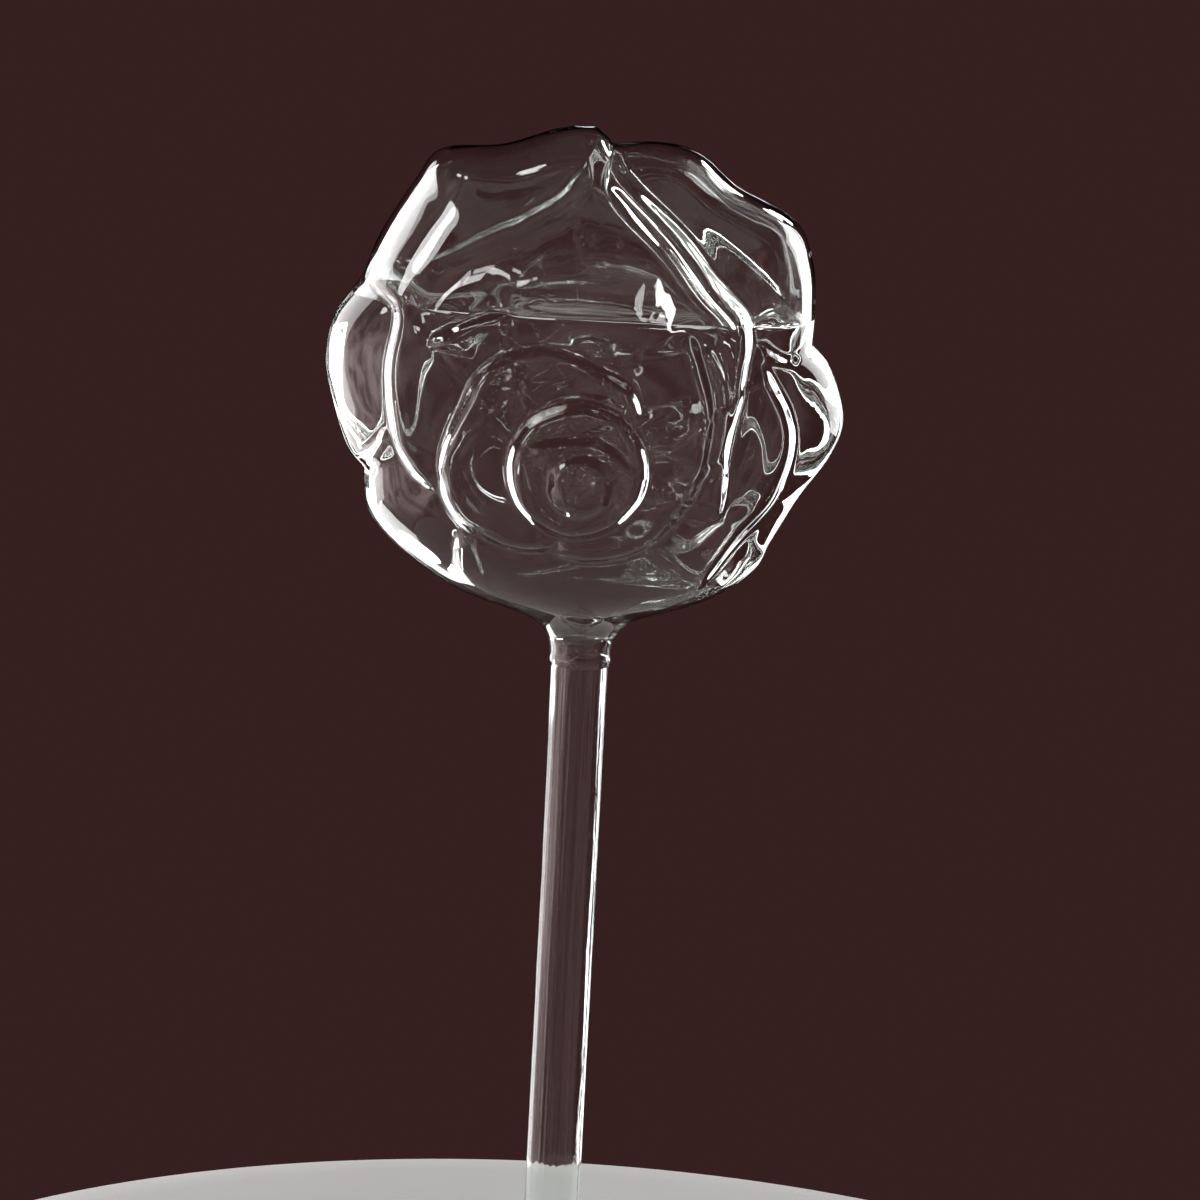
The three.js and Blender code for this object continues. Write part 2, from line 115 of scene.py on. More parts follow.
# Each edge is (height, closed, points); the petal on top is to the left of the direction of travel
FRONT_EDGES = [
    ((0.6, 0.9, 1, 1, 1.1, 1.2, 1.3, 1.3, 1.3, 1.2, 1, 1), False,
     [(21.7, -19.5), (22, -13.1), (21.9, -9.9), (22.8, -3.9), (23.5, -0.7), (24, 4.2), (24.4, 7.6),
      (23.4, 11.6), (19, 16.5), (13.2, 23.5), (4.5, 31.6), beyond(TOP)]),
    (0.9, False, [beyond(RIGHT), (32.5, 5.7), (31.1, 5.1), (29.5, 5.3), (27.4, 6.5), (25.2, 8.2)]),
    (1, False, [beyond(LEFT), (-31.6, 12.4), (-28.4, 9.2), (-29.3, 0.9), (-28.1, -8.1), (-25.4, -13.6),
                (-23, -15.9), (-20.8, -17.3)]),
    (1, False, [(19, -31), (24.2, -22.9), (29.2, -17), (30.9, -12.6), (31.7, -8.9), (31.7, -5.7),
                (30.7, -2.3), (29, 0.8), (27.3, 3.6), (25.7, 4.9)]),
    (0.8, False, [(-28.6, -7.1), (-31.1, -11), beyond(LOW_LEFT)]),
    (0.8, False, [(-17.3, -21.9), (-18, -26), (-17.5, -31.3), (-16.4, -34.5)]),
    (0.7, False, [(-4, -25.5), (3, -26.2), (10, -24), (15.2, -18.5), (18.2, -12), (19.2, -5.5),
                  (19.3, -2.7), (18.8, 0.1), (17.7, 3.6), (16.4, 7.3), (15.3, 9.9)]),
    (0.6, False, [(-10.5, 10.6), (-13.5, 10.2), (-17.1, 9), (-20, 7.5), (-21.7, 6.4), (-23.5, 4.8)]),
    ((1, 1.2, 1.2, 1.1, 0.9, 0.7, 0.5, 0.4, 0.5, 0.8, 1.1, 1.2, 1.2, 1.2, 1.2, 1.2, 1.2, 1.2, 1.2,
      1.2, 1, 1), False,
     [(9.2, -5.1), (8.8, -3.4), (7.8, -0.8), (6.6, 0.8), (4.7, 1.8), (2.1, 3), (-0.5, 4.2), (-5, 5.5),
      (-9.5, 5), (-13.6, 3), (-16.1, 0.3), (-17.6, -3.4), (-19.2, -7.2), (-20.3, -10.7), (-20.6, -13.9),
      (-19.7, -17.9), (-17.3, -21.4), (-13.9, -23.2), (-10.8, -24.6), (-7.5, -25.1), (-4.5, -24.8),
      (-2.3, -23.5)]),
    (1.5, True, [(2.7, -2.6), (-1.7, -2.4), (-7.4, -5.2), (-10.2, -11), (-8.6, -17.8), (-2.5, -22.2),
                 (4.5, -21), (9.2, -16), (9.8, -10), (6.6, -4.6)]),
    (0.7, False, [(8.5, -13.4), (7.5, -11), (5, -8.6), (1.8, -7.1), (-2.7, -7.5), (-6.1, -8.1),
                  (-8.3, -9.9)]),
    (0.6, True, [(4.8, -14.3), (3.5, -11.4), (0.4, -9.8), (-2.9, -11.3), (-4.1, -14.7), (-2.9, -17.6),
                 (0.5, -18.9), (3.7, -17.2)]),
]
# Fine folds, which only the outside of the glass has
FRONT_FOLDS = [
    (0.9, False, [(18.3, -12.8), (19.7, -10.7), (21, -9.1), (21.6, -6.5), (21.6, -2.7), (21.3, 1.1),
                  (20.5, 3.8), (19.2, 6.1), (17.9, 7.8)]),
    (0.8, False, [(2.9, 30.1), (11.5, 22.1), (17.3, 15.1), (21.5, 10.5), (22.4, 8.2)]),
    (0.6, False, [(-23.5, 5.2), (-20.5, 5), (-18.2, 4.3), (-16.6, 3.3)]),
    (0.6, False, [(-13.6, -3.8), (-16, -6.6), (-17.6, -8.7), (-18.8, -11.4), (-19.5, -14.1),
                  (-19.1, -17.3)]),
    (0.7, False, [(-13, -33.5), (-13.4, -31.3), (-14.1, -28.1), (-16, -23.3)]),
    (1.0, False, [(5.7, -18.2), (7.8, -17.3), (9.7, -16.1), (11.6, -16.4), (12.7, -15.8),
                  (13.6, -14)]),
    (0.6, False, [(2.2, -3.9), (3.6, -4.8), (4.6, -4), (3.7, -3), (1.8, -2.6), (-0.8, -2.4)]),
    (0.5, False, [(5.9, -16.2), (6.3, -14.4), (5.2, -11.6), (3, -9.8), (0.4, -9.3)]),
]
BACK_EDGES = [
    (0.6, False, [beyond(TOP), (-4.5, 28), (-11, 23), (-17, 19.5), (-26, 15.5), beyond(LEFT)]),
    (0.6, False, [beyond(RIGHT), (29, 14), (20, 20.5), (10, 27), (3.5, 33)]),
    (0.5, False, [beyond(LOW_RIGHT), (27.5, -10), (22, 4), (12, 13), (-2, 16)]),
    (0.5, False, [(6, 12), (-8, 11), (-20, 4), (-26, -8), beyond(LOW_LEFT)]),
    (0.5, False, [(-21, -4), (-18, -16), (-8, -24), (6, -27), (20, -22), (26, -15)]),
    (0.5, True, [(12.5, -10), (7, 2.5), (-3, 4.5), (-11, -1), (-12.5, -10), (-6, -16.5), (4, -16.5)]),
]
BUD_DOME, BUD_RADIUS, BUD_CENTRE = 2.2, 9.0, (0.0, -12.4)


def spline(points, per_span):
    """Catmull-Rom curve through the points, with its ends clamped."""
    p = np.array(points, float)
    last = len(p) - 1
    t = np.linspace(0, last, last * per_span + 1)
    i = np.minimum(t.astype(int), last - 1)
    f = (t - i)[:, None]
    p0, p1, p2, p3 = p[np.maximum(i - 1, 0)], p[i], p[i + 1], p[np.minimum(i + 2, last)]
    v0, v1 = (p2 - p0) / 2, (p3 - p1) / 2
    return (2 * p1 - 2 * p2 + v0 + v1) * f**3 + (3 * p2 - 3 * p1 - 2 * v0 - v1) * f**2 + v0 * f + p1


def loop_spline(points, per_span):
    wrapped = [points[-1], *points, points[0], points[1]]
    return spline(wrapped, per_span)[per_span:(len(points) + 1) * per_span + 1]


def blur_line(values, sigma):
    """Gaussian blur of a periodic row of values, sigma in samples."""
    reach = int(4 * sigma) + 1
    weights = np.exp(-0.5 * (np.arange(-reach, reach + 1) / sigma) ** 2)
    weights /= weights.sum()
    padded = np.concatenate([values[-reach:], values, values[:reach]])
    return np.convolve(padded, weights, "valid")


# Outline radius at each angle about the rose centre, with the notches a little rounded
outline = np.concatenate([spline(points, 24)[:-1] for points in OUTLINES])
outline_angle = np.arctan2(outline[:, 1], outline[:, 0])
order = np.argsort(outline_angle)
ANGLES = np.linspace(-math.pi, math.pi, 3600, endpoint=False)
outline_radius = np.hypot(*outline.T)
RADII = blur_line(np.interp(ANGLES, outline_angle[order], outline_radius[order], period=2 * math.pi), 4)


def face_radius(angle, spread):
    body = 1 / np.hypot(np.cos(angle) / BODY_WIDTH, np.sin(angle) / BODY_HEIGHT)
    edge = np.interp(angle, ANGLES, RADII, period=2 * math.pi)
    return body + (edge - body) * spread**OUTLINE_POWER


# The relief is worked out on a flat grid of heights for each face, then softened as melted glass is
PITCH = 0.2
GRID_REACH = 46
GRID = np.arange(-GRID_REACH, GRID_REACH + PITCH, PITCH)
FRONT_SOFTNESS, BACK_SOFTNESS, INSIDE_SOFTNESS = 0.28, 0.35, 1.0


def side_profile(away, height, width, reach):
    share = 1 - np.minimum(1, away / width)
    return height * np.sqrt(1 - share * share) * np.exp(-np.maximum(0, away - width) / reach)


def edge_relief(x, z, edge, rim, dip, taper_length):
    height, closed, points = edge
    line = loop_spline(points, 8) if closed else spline(points, 8)
    steps = np.diff(line, axis=0)
    lengths = np.hypot(*steps.T)
    runs = np.concatenate([[0], np.cumsum(lengths)])
    best = np.full(x.shape, np.inf)
    signed = np.zeros(x.shape)
    run = np.zeros(x.shape)
    for (ax, az), (dx, dz), length, start in zip(line, steps, lengths, runs):
        px, pz = x - ax, z - az
        part = np.clip((px * dx + pz * dz) / (length * length), 0, 1)
        away = np.hypot(px - dx * part, pz - dz * part)
        nearer = away < best
        best = np.where(nearer, away, best)
        signed = np.where(nearer, np.copysign(away, dx * pz - dz * px), signed)
        run = np.where(nearer, start + length * part, run)
    if not closed:
        ends = np.clip(np.minimum(run, runs[-1] - run) / taper_length, 0, 1)
        along = np.interp(run, runs[::8], np.broadcast_to(height, len(points)))
        height = along * ends * ends * (3 - 2 * ends)
    away = np.abs(signed)
    return height * np.where(signed > 0, side_profile(away, *rim), -side_profile(away, *dip))


def blur_grid(grid, sigma):
    """Gaussian blur of a grid, sigma in millimetres."""
    s = sigma / PITCH
    reach = int(3.5 * s) + 1
    weights = np.exp(-0.5 * (np.arange(-reach, reach + 1) / s) ** 2)
    weights /= weights.sum()
    for axis in (0, 1):
        pad = [(reach, reach) if a == axis else (0, 0) for a in (0, 1)]
        padded = np.pad(grid, pad, mode="edge")
        count = grid.shape[axis]
        grid = sum(w * np.take(padded, range(k, k + count), axis) for k, w in enumerate(weights))
    return grid


def lowest_near(grid, reach):
    cells = int(round(reach / PITCH))
    padded = np.pad(grid, cells, mode="edge")
    low = grid.copy()
    rows, cols = grid.shape
    for i in range(-cells, cells + 1, 2):
        for j in range(-cells, cells + 1, 2):
            if i * i + j * j <= cells * cells:
                low = np.minimum(low, padded[cells + i:cells + i + rows, cells + j:cells + j + cols])
    return low


def relief_grid(edges, front):
    x, z = np.meshgrid(GRID, GRID, indexing="ij")
    height = sum(edge_relief(x, z, edge, EDGE_RIM, EDGE_DIP, EDGE_TAPER) for edge in edges)
    if front:
        away = np.hypot(x - BUD_CENTRE[0], z - BUD_CENTRE[1]) / BUD_RADIUS
        height = height + BUD_DOME * np.exp(-away * away)
    return height


def sample_grid(grid, x, z):
    """Smooth (cubic) lookup of a height grid."""
    def weights(f):
        return (((-f + 2) * f - 1) * f / 2, ((3 * f - 5) * f * f + 2) / 2,
                ((-3 * f + 4) * f + 1) * f / 2, (f - 1) * f * f / 2)

    gx = np.clip((x - GRID[0]) / PITCH, 1, len(GRID) - 3)
    gz = np.clip((z - GRID[0]) / PITCH, 1, len(GRID) - 3)
    ix, iz = gx.astype(int), gz.astype(int)
    wx, wz = weights(gx - ix), weights(gz - iz)
    return sum(wx[a] * wz[b] * grid[ix + a - 1, iz + b - 1] for a in range(4) for b in range(4))


def fold_grid(folds):
    x, z = np.meshgrid(GRID, GRID, indexing="ij")
    return sum(edge_relief(x, z, fold, FOLD_RIM, FOLD_DIP, FOLD_TAPER) for fold in folds)


front_raw, back_raw = relief_grid(FRONT_EDGES, True), relief_grid(BACK_EDGES, False)
OUTSIDE = [
    blur_grid(front_raw + fold_grid(FRONT_FOLDS), FRONT_SOFTNESS),
    blur_grid(back_raw, BACK_SOFTNESS),
]
INSIDE = [blur_grid(lowest_near(raw, INSIDE_REACH), INSIDE_SOFTNESS) for raw in (front_raw, back_raw)]


def face_point(longitude, polar, inset=0.0, inside=False):
    """Points of the rose's glass, for longitudes from the front and polar angles from the top."""
    nx = np.sin(polar) * np.sin(longitude)
    nz = np.cos(polar) + 0 * longitude
    spread = np.minimum(1, np.hypot(nx, nz))
    angle = np.arctan2(nz, nx)
    reach = face_radius(angle, spread) * spread
    x, z = reach * np.cos(angle), reach * np.sin(angle)
    front, back = (sample_grid(grid, x, z) for grid in (INSIDE if inside else OUTSIDE))
    side = np.sign(np.round(np.sin(polar) * np.cos(longitude), 12))
    relief = np.where(side > 0, front, back) * (1 - spread**RELIEF_POWER)
    shrink = 1 - inset / BODY_WIDTH
    depth = (1 - spread**BODY_FULLNESS) ** (1 / BODY_FULLNESS) * (BODY_DEPTH - inset) + relief
    return np.stack([ROSE_X + x * shrink, -side * depth, ROSE_Z + z * shrink], -1)


def ring_points(radius, height, longitude):
    shape = np.broadcast(radius, height, longitude).shape
    radius, height = np.broadcast_to(radius, shape), np.broadcast_to(height, shape)
    return np.stack([radius * np.sin(longitude), -radius * np.cos(longitude), height], -1)


def soften_columns(rings, first, last, times):
    """Evens out the run from the body into the neck, ring by ring."""
    for _ in range(times):
        middle = rings[first:last]
        rings[first:last] = middle / 2 + (rings[first - 1:last - 1] + rings[first + 1:last + 1]) / 4
    return rings


# Longitudes of the mesh's columns, closer together on the front
COLUMNS = np.concatenate([
    np.linspace(-math.pi / 2, math.pi / 2, FRONT_COLUMNS, endpoint=False),
    np.linspace(math.pi / 2, 3 * math.pi / 2, BACK_COLUMNS, endpoint=False),
])
ROUND = COLUMNS[None, :]


def rose_tip(inset=0.0, inside=False):
    return face_point(np.array([0.0]), np.array([1e-6]), inset, inside)[0]


def joined_to_neck(body, neck, bridge_rings, softened, times):
    """The body's rings run on into the neck's, with the body's last ones softened along with them."""
    gap = np.linspace(0, 1, bridge_rings + 2)[1:-1, None, None]
    bridge = body[-1] * (1 - gap) + neck[0] * gap
    rings = np.concatenate([body, bridge, neck])
    return soften_columns(rings, len(body) - softened, len(rings) - NECK_KEPT, times)


def rose_outside():
    body = face_point(ROUND, np.linspace(0, BODY_END, BODY_RINGS + 1)[1:, None])
    share = np.linspace(1, 0, NECK_RINGS)[:, None]
    radius = NECK_RADIUS + NECK_FLARE * share**NECK_POWER
    neck = ring_points(radius, WELD_TOP + NECK_HEIGHT * share, ROUND)
    return rose_tip(), joined_to_neck(body, neck, bridge_rings=8, softened=40, times=60)


def rose_inside(inset):
    """Inner wall in rings; the last dry one, whose number comes third, is where the water's edge is."""
    contact = WATER_Z + MENISCUS_RISE
    search = np.linspace(0.01, BODY_END, CONTACT_STEPS)[:, None]
    heights = face_point(ROUND, search, BULB_WALL, True)[..., 2]
    meets = np.array([np.interp(-contact, -column, search[:, 0]) for column in heights.T])
    dry = np.linspace(0, 1, DRY_RINGS + 1)[1:, None] * meets[None, :]
    wet = meets[None, :] + np.linspace(0, 1, WET_RINGS + 1)[1:, None] * (BODY_END - meets[None, :])
    polar = np.concatenate([dry, wet])
    body = face_point(np.broadcast_to(COLUMNS, polar.shape), polar, inset, True)
    share = np.linspace(1, 0, NECK_RINGS)[:, None]
    radius = STEM_BORE - (inset - BULB_WALL) + NECK_FLARE * share**NECK_POWER
    neck = ring_points(radius, WELD_TOP + (NECK_HEIGHT + BULB_WALL) * share, ROUND)
    rings = joined_to_neck(body, neck, bridge_rings=6, softened=24, times=40)
    return rose_tip(inset, True), rings, DRY_RINGS - 1


class MeshMaker:
    """Gathers rings of points into one mesh, with a material number for each face."""

    def __init__(self):
        self.points, self.faces, self.kinds, self.count = [], [], [], 0

    def add(self, points):
        points = np.asarray(points, float).reshape(-1, 3)
        self.points.append(points)
        start = self.count
        self.count += len(points)
        return np.arange(start, self.count)

    def strip(self, upper, lower, kind, flip=False):
        """Quads between two closed rings of vertices, seen from outside with upper above lower."""
        upper, lower = np.asarray(upper), np.asarray(lower)
        quads = np.stack([upper, lower, np.roll(lower, -1), np.roll(upper, -1)], -1)
        self.put(quads, kind, flip)

    def fan(self, tip, ring, kind, flip=False):
        ring = np.asarray(ring)
        tips = np.full(len(ring), tip)
        self.put(np.stack([tips, ring, np.roll(ring, -1)], -1), kind, flip)

    def put(self, faces, kind, flip):
        if flip:
            faces = faces[:, ::-1]
        self.faces.extend(faces.tolist())
        self.kinds.extend([kind] * len(faces))

    def rings(self, rings, kind, flip=False):
        numbers = self.add(rings).reshape(rings.shape[:2])
        for upper, lower in zip(numbers, numbers[1:]):
            self.strip(upper, lower, kind, flip)
        return numbers

    def onward(self, ring, rings, kind, flip=False):
        """More rings of points after a ring that is there already."""
        numbers = np.concatenate([[ring], self.add(rings).reshape(-1, len(ring))])
        for upper, lower in zip(numbers, numbers[1:]):
            self.strip(upper, lower, kind, flip)
        return numbers

    def build(self, name, materials):
        mesh = bpy.data.meshes.new(name)
        mesh.from_pydata((np.concatenate(self.points) / 1000).tolist(), [], self.faces)
        mesh.polygons.foreach_set("material_index", self.kinds)
        mesh.polygons.foreach_set("use_smooth", [True] * len(self.faces))
        for material in materials:
            mesh.materials.append(material)
        mesh.update()
        piece = bpy.data.objects.new(name, mesh)
        bpy.context.scene.collection.objects.link(piece)
        return piece


# Places of the materials in each piece of glass, and in the water
DRY, WET = 0, 1
SURFACE, SIDE = 0, 1


def make_bulb(materials):
    maker = MeshMaker()
    top, rings = rose_outside()
    numbers = maker.rings(rings, DRY)
    maker.fan(maker.add(top)[0], numbers[0], DRY)
    top, rings, contact = rose_inside(BULB_WALL)
    numbers = maker.rings(rings[:contact + 1], DRY, flip=True)
    maker.fan(maker.add(top)[0], numbers[0], DRY, flip=True)
    maker.onward(numbers[-1], rings[contact + 1:], WET, flip=True)
    return maker.build("rose_glass", materials)


def weld_profile(share, lumps=0.0):
    belly = np.sin(math.pi * share)
    outer = NECK_RADIUS + (STEM_OUTER - NECK_RADIUS) * share + (WELD_BULGE + lumps) * belly
    bore = STEM_BORE - WELD_BORE_DROP * belly
    return outer, bore, WELD_TOP - WELD_HEIGHT * share


def make_weld(materials):
    maker = MeshMaker()
    lumps = sum(size * np.sin(count * ROUND + start) for count, size, start in WELD_LUMPS)
    outer, bore, height = weld_profile(np.linspace(0, 1, WELD_RINGS)[:, None], lumps)
    maker.rings(ring_points(outer, height, ROUND), DRY)
    maker.rings(ring_points(bore, height, ROUND), WET, flip=True)
    return maker.build("weld_bead", materials)


def make_stem(materials):
    maker = MeshMaker()
    heights = np.linspace(STEM_LENGTH, TIP_ROUNDING, STEM_RINGS)[:, None]
    drift = heights / LEAN_LENGTH
    lines = sum(size * np.sin(count * ROUND + lean * drift + start)
                for count, size, lean, start in STEM_LINES)
    to_end = np.minimum(heights - TIP_ROUNDING, STEM_LENGTH - heights)
    ends = np.minimum(1, to_end / LINES_FADE)
    down = np.linspace(0, math.pi / 2, TIP_RINGS + 1)[1:, None]
    up = down[::-1]

    def tip_height(turn):
        return TIP_ROUNDING * (1 - np.sin(turn))

    numbers = maker.rings(np.concatenate([
        ring_points(STEM_OUTER - LINES_INSET * ends + lines * ends, heights, ROUND),
        ring_points(STEM_OUTER - TIP_ROUNDING * (1 - np.cos(down)), tip_height(down), ROUND),
        ring_points(STEM_BORE + TIP_ROUNDING * (1 - np.cos(up)), tip_height(up), ROUND),
        ring_points(STEM_BORE, np.array([[TIP_ROUNDING]]), ROUND),
    ]), DRY)
    maker.onward(numbers[-1], ring_points(STEM_BORE, heights[-2::-1], ROUND), WET)
    return maker.build("stem_glass_tube", materials)


def make_water(materials):
    """Closed body of water, with an edge that climbs the glass and sides just inside the wall."""
    maker = MeshMaker()
    _, wall, contact = rose_inside(BULB_WALL)
    _, inner, _ = rose_inside(BULB_WALL + FILM)
    edge = wall[contact]
    middle = np.array([edge[:, 0].mean(), 0.0])
    outward = edge[:, :2] - middle
    reach = np.hypot(*outward.T)
    surface = [edge]
    for away in MENISCUS_RINGS:
        share = 1 - away / reach
        level = WATER_Z + MENISCUS_RISE * math.exp(-away / MENISCUS_REACH)
        ring = np.column_stack([middle + outward * share[:, None], np.full(len(edge), level)])
        surface.append(ring)
    for part in (0.75, 0.5, 0.25):
        flat = surface[len(MENISCUS_RINGS)].copy()
        flat[:, :2] = middle + (flat[:, :2] - middle) * part
        flat[:, 2] = WATER_Z
        surface.append(flat)
    numbers = maker.rings(np.array(surface)[::-1], SURFACE)
    maker.fan(maker.add([middle[0], middle[1], WATER_Z])[0], numbers[0], SURFACE)
    _, bore, height = weld_profile(np.linspace(0, 1, WELD_RINGS)[1:-1, None])
    stem_heights = np.linspace(STEM_LENGTH, TIP_ROUNDING + 0.1, WATER_STEM_RINGS)[:, None]
    sides = maker.onward(numbers[-1], np.concatenate([
        inner[contact + 1:],
        ring_points(bore - FILM, height, ROUND),
        ring_points(STEM_BORE - FILM, stem_heights, ROUND),
        ring_points(STEM_BORE, np.array([[TIP_ROUNDING]]), ROUND),
    ]), SIDE)
    maker.fan(maker.add([0, 0, TIP_ROUNDING])[0], sides[-1], SURFACE, flip=True)
    return maker.build("water_fill", materials)


# Materials
def new_material(name):
    material = bpy.data.materials.new(name)
    material.use_nodes = True
    tree = material.node_tree
    return material, tree.nodes, tree.links, tree.nodes["Principled BSDF"]


def noise(nodes, links, vector, scale, detail=2.0, rough=0.5):
    node = nodes.new("ShaderNodeTexNoise")
    node.inputs["Scale"].default_value = scale
    node.inputs["Detail"].default_value = detail
    node.inputs["Roughness"].default_value = rough
    links.new(vector, node.inputs["Vector"])
    return node.outputs["Fac"]


def stretched(nodes, links, scale):
    coords = nodes.new("ShaderNodeTexCoord")
    mapping = nodes.new("ShaderNodeMapping")
    mapping.inputs["Scale"].default_value = scale
    links.new(coords.outputs["Object"], mapping.inputs["Vector"])
    return mapping.outputs["Vector"]


def ramp(nodes, links, source, low, high):
    """Colours from low to high over the middle of a noise's range."""
    node = nodes.new("ShaderNodeValToRGB")
    for element, position, color in zip(node.color_ramp.elements, (0.35, 0.65), (low, high)):
        element.position = position
        element.color = (*color, 1)
    links.new(source, node.inputs["Fac"])
    return node.outputs["Color"]


def bump(nodes, links, height, distance, strength, under=None):
    node = nodes.new("ShaderNodeBump")
    node.inputs["Distance"].default_value = distance
    node.inputs["Strength"].default_value = strength
    links.new(height, node.inputs["Height"])
    if under is not None:
        links.new(under, node.inputs["Normal"])
    return node.outputs["Normal"]


def seeds(nodes, links, vector, spacing, size, share):
    """Round dimples over seeds in the glass, about size metres wide, in a share of the cells."""
    cells = nodes.new("ShaderNodeTexVoronoi")
    cells.inputs["Scale"].default_value = 1 / spacing
    links.new(vector, cells.inputs["Vector"])
    dimple = nodes.new("ShaderNodeMapRange")
    dimple.interpolation_type = "SMOOTHSTEP"
    dimple.inputs["From Max"].default_value = size / spacing
    dimple.inputs["To Min"].default_value = 1
    dimple.inputs["To Max"].default_value = 0
    links.new(cells.outputs["Distance"], dimple.inputs["Value"])
    parts = nodes.new("ShaderNodeSeparateColor")
    links.new(cells.outputs["Color"], parts.inputs["Color"])
    chosen = nodes.new("ShaderNodeMath")
    chosen.operation = "LESS_THAN"
    chosen.inputs[1].default_value = share
    links.new(parts.outputs["Red"], chosen.inputs[0])
    kept = nodes.new("ShaderNodeMath")
    kept.operation = "MULTIPLY"
    links.new(dimple.outputs["Result"], kept.inputs[0])
    links.new(chosen.outputs[0], kept.inputs[1])
    return kept.outputs[0]


# Noise of the glass as (scale, detail, roughness): its tint, its smudges, slow waves and fine ripples
TINT_NOISE, SMUDGE_NOISE, WAVE_NOISE, RIPPLE_NOISE = (60,), (150, 5, 0.6), (90, 1), (420, 2)
WAVE_DEPTH, RIPPLE_DEPTH = 0.001, 0.0002
SEED_SPACING, SEED_SIZE, SEED_DEPTH = 0.008, 0.0007, 0.0003
PLAIN = (1, 1, 1)


def glass_material(name, ior, low, high, scale, wave, ripple, smudge=0.0, seeded=0.0):
    """Clear glass or water: wave and ripple are strengths, smudge is the roughest the surface gets."""
    material, nodes, links, shader = new_material(name)
    shader.inputs["Transmission Weight"].default_value = 1
    shader.inputs["IOR"].default_value = ior
    vector = stretched(nodes, links, scale)
    tint = ramp(nodes, links, noise(nodes, links, vector, *TINT_NOISE), low, high)
    links.new(tint, shader.inputs["Base Color"])
    grey = ramp(nodes, links, noise(nodes, links, vector, *SMUDGE_NOISE), (0.0,) * 3, (smudge,) * 3)
    links.new(grey, shader.inputs["Roughness"])
    slow = noise(nodes, links, vector, *WAVE_NOISE)
    normal = bump(nodes, links, slow, WAVE_DEPTH, wave)
    fine = noise(nodes, links, vector, *RIPPLE_NOISE)
    normal = bump(nodes, links, fine, RIPPLE_DEPTH, ripple, normal)
    if seeded:
        dimples = seeds(nodes, links, stretched(nodes, links, PLAIN), SEED_SPACING, SEED_SIZE, seeded)
        normal = bump(nodes, links, dimples, SEED_DEPTH, 1.0, normal)
    links.new(normal, shader.inputs["Normal"])
    return material


# Refraction at glass in air, at glass with water behind it and at the water's surface. The water's
# sides bend nothing, because the wetted glass just outside them has that step already.
GLASS, WETTED, WATER, NO_STEP = 1.5, 1.128, 1.33, 1.0
CLEAR, TINT = (0.985, 0.992, 0.988), (0.95, 0.972, 0.96)
WATER_CLEAR, WATER_TINT = (0.985, 0.995, 0.99), (0.97, 0.985, 0.98)
# Painted shade: the water's surface is coloured darker and olive in streaks, which dims what is seen
# through it and stands in for leaves seen through the water
PAINTED_SHADE_DARK, PAINTED_SHADE_PALE = (0.72, 0.73, 0.64), (0.95, 0.95, 0.9)
# Stretches of the noise for drawn glass and for the streaks of painted shade across the water's surface
DRAWN, PAINTED_SHADE_STREAKS = (9, 9, 0.25), (0.5, 6, 1)
SMUDGE = 0.02
bulb_glass = glass_material("bulb_glass", GLASS, TINT, CLEAR, PLAIN, 0.18, 0.02, SMUDGE, seeded=0.25)
bulb_wet = glass_material("bulb_glass_wetted", WETTED, TINT, CLEAR, PLAIN, 0.3, 0.0)
weld_glass = glass_material("weld_glass", GLASS, TINT, CLEAR, PLAIN, 0.3, 0.2, SMUDGE)
weld_wet = glass_material("weld_glass_wetted", WETTED, TINT, CLEAR, PLAIN, 0.2, 0.0)
stem_glass = glass_material("stem_glass", GLASS, TINT, CLEAR, DRAWN, 0.16, 0.08, SMUDGE)
stem_wet = glass_material("stem_glass_wetted", WETTED, TINT, CLEAR, DRAWN, 0.3, 0.0)
# The water's surface carries the streaks of painted shade with an olive cast
water_top_painted_shade = glass_material("water_surface_painted_shade", WATER, PAINTED_SHADE_DARK, PAINTED_SHADE_PALE, PAINTED_SHADE_STREAKS, 0.25, 0.0)
water_side = glass_material("water_body", NO_STEP, WATER_TINT, WATER_CLEAR, PLAIN, 0.0, 0.0)

pieces = [
    (make_bulb([bulb_glass, bulb_wet]), "rose_bulb", "bulb_glass"),
    (make_weld([weld_glass, weld_wet]), "neck_weld", "weld_glass"),
    (make_stem([stem_glass, stem_wet]), "stem_tube", "stem_glass"),
]
for piece, node, slot in pieces:
    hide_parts(node)
    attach(piece, "root")
water = make_water([water_top_painted_shade, water_side])
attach(water, "root")


# Floor, a round pale table top with a rolled edge, as (radius, height) in rings
FLOOR_RINGS = [(30, 0), (60, 0), (90, 0), (116, 0), (126, -0.6), (130, -4), (130, -14)]
FLOOR_DARK, FLOOR_PALE = (0.56, 0.54, 0.515), (0.62, 0.60, 0.575)
FLOOR_CLOUDS, FLOOR_GRAIN = (9, 3), (600, 3)
FLOOR_GRAIN_DEPTH, FLOOR_GRAIN_STRENGTH = 0.0002, 0.15


def make_floor():
    maker = MeshMaker()
    turns = np.linspace(0, 2 * math.pi, 160, endpoint=False)[None, :]
    radii, heights = np.array(FLOOR_RINGS, float).T[:, :, None]
    numbers = maker.rings(ring_points(radii, heights, turns), 0)
    maker.fan(maker.add([0, 0, 0])[0], numbers[0], 0)
    material, nodes, links, shader = new_material("pale_floor")
    vector = stretched(nodes, links, PLAIN)
    color = ramp(nodes, links, noise(nodes, links, vector, *FLOOR_CLOUDS), FLOOR_DARK, FLOOR_PALE)
    links.new(color, shader.inputs["Base Color"])
    shader.inputs["Roughness"].default_value = 0.6
    grain = noise(nodes, links, vector, *FLOOR_GRAIN)
    normal = bump(nodes, links, grain, FLOOR_GRAIN_DEPTH, FLOOR_GRAIN_STRENGTH)
    links.new(normal, shader.inputs["Normal"])
    floor = maker.build("pale_floor", [material])


make_floor()


